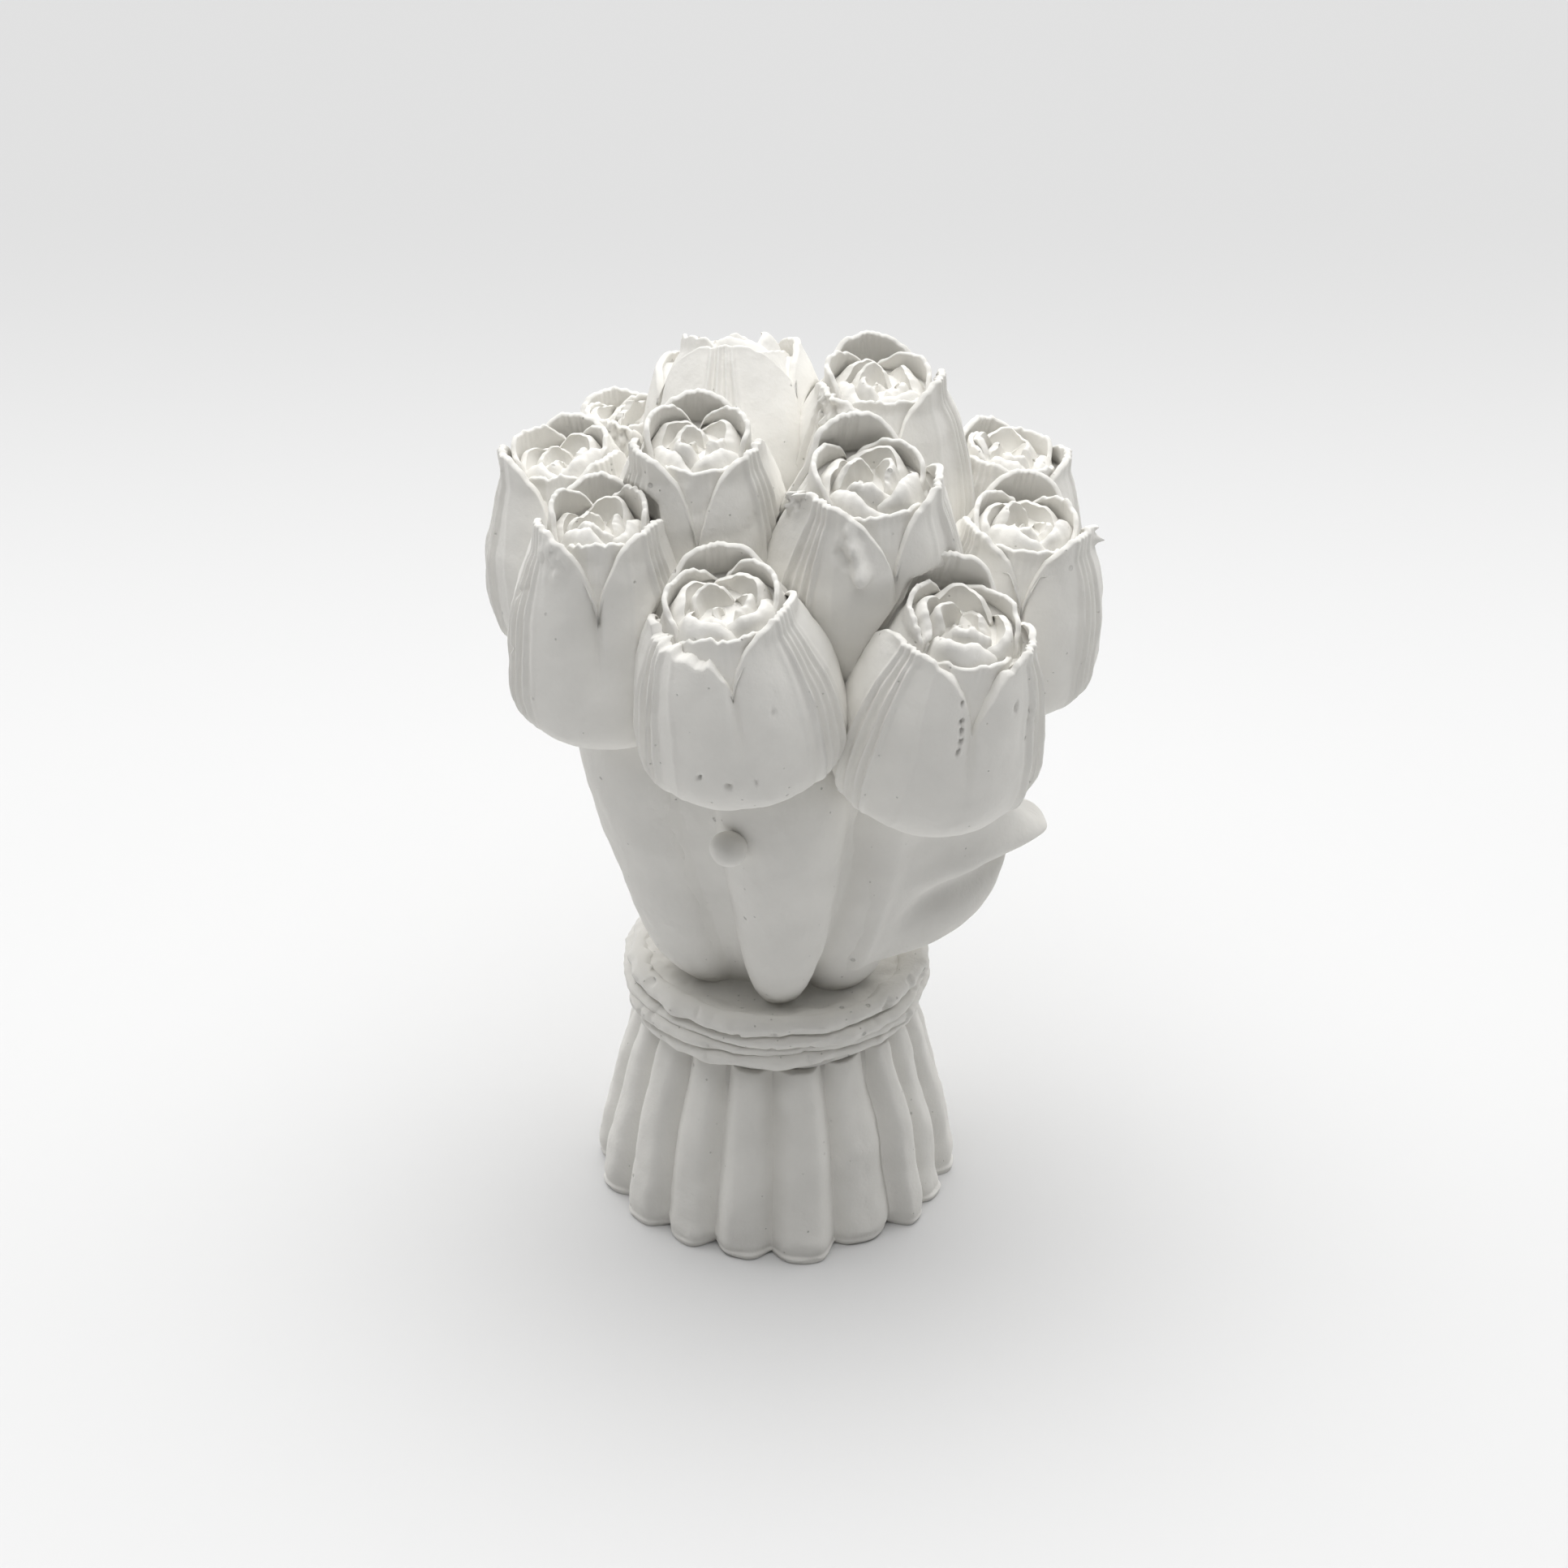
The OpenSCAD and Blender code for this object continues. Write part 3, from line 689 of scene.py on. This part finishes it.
def make_waist():
    top = WAIST_Z
    profile = [(0.5, SKIRT_H - 0.2), (WAIST_R - 0.6, SKIRT_H - 0.2), (WAIST_R, SKIRT_H + 0.2)]
    profile += [(WAIST_R - 0.2, z) for z in np.linspace(SKIRT_H + 0.6, top - 1.4, 8)]
    profile += [(r, top - 0.9 + 0.13 * (16.4 - r)) for r in np.linspace(16.4, 9, 40)] + [(0.5, top - 0.2)]
    points, faces = revolve(profile, 300, 530, 0.13)
    radius, azimuth = np.hypot(points[:, 0], points[:, 1]), np.arctan2(points[:, 0], -points[:, 1])
    ledge = smooth(top - 1.4, top - 0.9, points[:, 2]) * smooth(8, 9.5, radius)
    away = np.clip(radius - neck_outline(azimuth, np.full(len(points), top - 0.4)), 0, None)
    points[:, 2] += ledge * (1.25 * front_rise(azimuth) * smooth(12, 16, radius) + 1.1 * np.exp(-away / 0.9))
    add_piece("waist_ledge", [(points, faces)], "plaster_twine", ["waist"])


# Strands of twine: mean height as a share of the winding, height and depth of the strand in mm,
# and how it wanders up and down (size in mm, waves per turn, phase)
STRANDS = [
    (0.15, 1.9, 2.6, (0.25, 1, 0.6), (0.20, 3, 1.0)),
    (0.37, 1.8, 3.0, (0.42, 1, 2.9), (0.25, 2, 0.3)),
    (0.59, 1.8, 3.1, (0.40, 1, 4.6), (0.22, 3, 2.2)),
    (0.80, 2.0, 2.9, (0.20, 1, 1.4), (0.15, 2, 4.0)),
]


def make_twine(number):
    share, tall, deep, first, second = STRANDS[number - 1]
    azimuth = np.linspace(-math.pi, math.pi, 421)[:-1]
    level = SKIRT_H + share * (WAIST_Z - SKIRT_H)
    for size, turns, phase in (first, second):
        level = level + size * np.sin(turns * azimuth + phase)
    level = np.clip(level, SKIRT_H + tall / 2 - 0.4, WAIST_Z - tall / 2 + 0.25)
    level = level + front_rise(azimuth) * (0.9 + 0.5 * share)
    out = WAIST_R + 0.6 + 0.2 * np.sin(2 * azimuth + number * 1.9) + 0.12 * np.sin(7 * azimuth + number)
    swell = 1 + 0.14 * np.sin(3 * azimuth + number * 2.3) + 0.08 * np.sin(11 * azimuth + number)
    rings = []
    for turn in np.linspace(0, TAU, 29)[:-1]:
        c, s = math.cos(turn), math.sin(turn)
        radial = deep / 2 * math.copysign(abs(c) ** 0.9, c)
        rise = tall / 2 * math.copysign(abs(s) ** 0.9, s)
        rings.append(polar(azimuth, out + radial * swell, level + rise * swell))
    rings = np.array(rings)
    fibres = 0.05 * np.sin(np.linspace(0, TAU, 29)[:-1] * 6)[:, None]
    dents = np.clip(waves(rings, 1.3, 540 + number) - 1.0, 0, 1) * 0.8
    away = fibres + 0.15 * waves(rings, 2.2, 550 + number) + 0.06 * waves(rings, 0.9, 560 + number) - dents
    rings = rings + unit_out(azimuth)[None] * away[..., None]
    n, m = rings.shape[:2]
    faces = grid_faces(n, m, True)
    faces += [((n - 1) * m + j, (n - 1) * m + (j + 1) % m, (j + 1) % m, j) for j in range(m)]
    add_piece(f"twine_{number}_strand", [(rings.reshape(-1, 3), [f[::-1] for f in faces])], "plaster_twine",
              [f"twine_{number}"])


# ---------------------------------------------------------------- materials

def plaster(name, colour, rarity):
    """Dry casting plaster: chalky, faintly mottled, with pinholes and a fine skin texture; the pinholes are
    also darkened in the base colour as painted shade.
    """
    material = bpy.data.materials.new(name)
    material.use_nodes = True
    nodes, links = material.node_tree.nodes, material.node_tree.links
    shader = nodes["Principled BSDF"]
    shader.inputs["Roughness"].default_value = 0.9
    shader.inputs["Specular IOR Level"].default_value = 0.25
    place = nodes.new("ShaderNodeTexCoord")

    def noise(scale, detail):
        node = nodes.new("ShaderNodeTexNoise")
        node.inputs["Scale"].default_value = scale
        node.inputs["Detail"].default_value = detail
        links.new(place.outputs["Object"], node.inputs["Vector"])
        return node.outputs["Fac"]

    def ramp(source, low, high, first, second):
        node = nodes.new("ShaderNodeValToRGB")
        node.color_ramp.elements[0].position, node.color_ramp.elements[1].position = low, high
        node.color_ramp.elements[0].color, node.color_ramp.elements[1].color = first, second
        links.new(source, node.inputs["Fac"])
        return node.outputs["Color"]

    def grey(value):
        return (value, value, value, 1)

    def pinholes(scale, rarity, size):
        """1 on the skin and 0 in a few small round holes."""
        cells = nodes.new("ShaderNodeTexVoronoi")
        cells.inputs["Scale"].default_value = scale
        links.new(place.outputs["Object"], cells.inputs["Vector"])
        chosen = ramp(cells.outputs["Color"], rarity, rarity + 0.02, grey(1), grey(0))
        hole = ramp(cells.outputs["Distance"], size * 0.6, size, grey(0), grey(1))
        return mix("LIGHTEN", hole, chosen)

    def mix(way, first, second, share=1.0):
        node = nodes.new("ShaderNodeMix")
        node.data_type, node.blend_type = "RGBA", way
        node.inputs["Factor"].default_value = share
        links.new(first, node.inputs["A"])
        links.new(second, node.inputs["B"])
        return node.outputs["Result"]

    warm = [c * w for c, w in zip(colour, (1.0, 0.995, 0.978))]
    dark = [c * 0.955 for c in warm] + [1]
    light = [min(1, c * 1.025) for c in warm] + [1]
    mottle = ramp(noise(140, 5), 0.3, 0.7, dark, light)
    holes = mix("MULTIPLY", pinholes(330, rarity, 0.11), pinholes(900, rarity + 0.06, 0.13))
    # Painted shade: the pinhole mask darkens the base colour by 0.22 inside the holes; the same mask also
    # drives the real bump below.
    links.new(mix("MULTIPLY", mottle, holes, 0.22), shader.inputs["Base Color"])

    pits = nodes.new("ShaderNodeBump")
    pits.inputs["Strength"].default_value = 0.6
    pits.inputs["Distance"].default_value = 0.0004
    links.new(holes, pits.inputs["Height"])
    grain = nodes.new("ShaderNodeBump")
    grain.inputs["Strength"].default_value = 0.35
    grain.inputs["Distance"].default_value = 0.0002
    links.new(noise(1500, 6), grain.inputs["Height"])
    links.new(pits.outputs["Normal"], grain.inputs["Normal"])
    links.new(grain.outputs["Normal"], shader.inputs["Normal"])
    return material


PLASTER = {}
for entry in frame["record"]["materials"]:
    rarity = 0.5 if entry["slot"] == "plaster_twine" else 0.72
    PLASTER[entry["slot"]] = plaster(entry["slot"], entry["base_color"][:3], rarity)


# ---------------------------------------------------------------- set, light and camera

TENT_BACK = 1.15
TENT_TOP = 3.0
FLOOR_GREY = 0.65


def make_stage():
    mesh = bpy.data.meshes.new("floor")
    size = 3.0
    corners = [(-size, -size, 0), (size, -size, 0), (size, size, 0), (-size, size, 0)]
    mesh.from_pydata(corners, [], [(0, 1, 2, 3)])
    floor = bpy.data.objects.new("floor", mesh)
    bpy.context.scene.collection.objects.link(floor)
    material = bpy.data.materials.new("floor_paper")
    material.use_nodes = True
    nodes, links = material.node_tree.nodes, material.node_tree.links
    nodes["Principled BSDF"].inputs["Roughness"].default_value = 0.9
    place = nodes.new("ShaderNodeTexCoord")
    split = nodes.new("ShaderNodeSeparateXYZ")
    links.new(place.outputs["Object"], split.inputs[0])
    # Painted shade: the floor's base colour darkens from FLOOR_GREY to 0.79 of it between y 0.08 and 0.30 m,
    # towards the back, standing for light falling off across the paper.
    fade = nodes.new("ShaderNodeMapRange")
    fade.interpolation_type = "SMOOTHSTEP"
    fade.inputs["From Min"].default_value = 0.08
    fade.inputs["From Max"].default_value = 0.30
    fade.inputs["To Min"].default_value = FLOOR_GREY
    fade.inputs["To Max"].default_value = FLOOR_GREY * 0.79
    links.new(split.outputs["Y"], fade.inputs["Value"])
    floor_colour_with_painted_falloff = nodes.new("ShaderNodeCombineColor")
    for channel in ("Red", "Green", "Blue"):
        links.new(fade.outputs["Result"], floor_colour_with_painted_falloff.inputs[channel])
    links.new(floor_colour_with_painted_falloff.outputs["Color"], nodes["Principled BSDF"].inputs["Base Color"])
    mesh.materials.append(material)


def make_light():
    """A light tent, open and dark towards the camera, and brightest overhead."""
    world = bpy.data.worlds.new("light_tent")
    bpy.context.scene.world = world
    world.use_nodes = True
    nodes, links = world.node_tree.nodes, world.node_tree.links
    place = nodes.new("ShaderNodeTexCoord")
    split = nodes.new("ShaderNodeSeparateXYZ")
    links.new(place.outputs["Generated"], split.inputs[0])

    def part(way, low, high, bright):
        step = nodes.new("ShaderNodeMapRange")
        step.interpolation_type = "SMOOTHSTEP"
        step.inputs["From Min"].default_value = low
        step.inputs["From Max"].default_value = high
        step.inputs["To Max"].default_value = bright
        links.new(way, step.inputs["Value"])
        return step.outputs["Result"]

    total = nodes.new("ShaderNodeMath")
    total.operation = "ADD"
    links.new(part(split.outputs["Y"], -0.16, 0.2, TENT_BACK), total.inputs[0])
    links.new(part(split.outputs["Z"], 0.68, 1.0, TENT_TOP), total.inputs[1])
    background = nodes["Background"]
    background.inputs["Color"].default_value = (1, 1, 1, 1)
    links.new(total.outputs[0], background.inputs["Strength"])
    bpy.context.scene.view_settings.view_transform = "Standard"


def make_camera():
    data = bpy.data.cameras.new("camera")
    data.lens, data.sensor_width = 85, 36
    camera = bpy.data.objects.new("camera", data)
    camera.location = (0.0009, -0.3644, 0.2843)
    camera.rotation_euler = (math.radians(57.7), 0, 0)
    bpy.context.scene.collection.objects.link(camera)
    bpy.context.scene.camera = camera


make_camera()
make_light()
make_stage()
for one in BULBS:
    make_tulip(one)
make_neck()
make_lying_leaf("leaf_left")
make_lying_leaf("leaf_left_back")
make_lying_leaf("leaf_centre", TONGUE_PITS)
make_right_leaf()
make_right_back_leaf()
make_bead()
make_core()
for one in range(1, 19):
    make_stem(one)
make_waist()
for one in range(1, 5):
    make_twine(one)
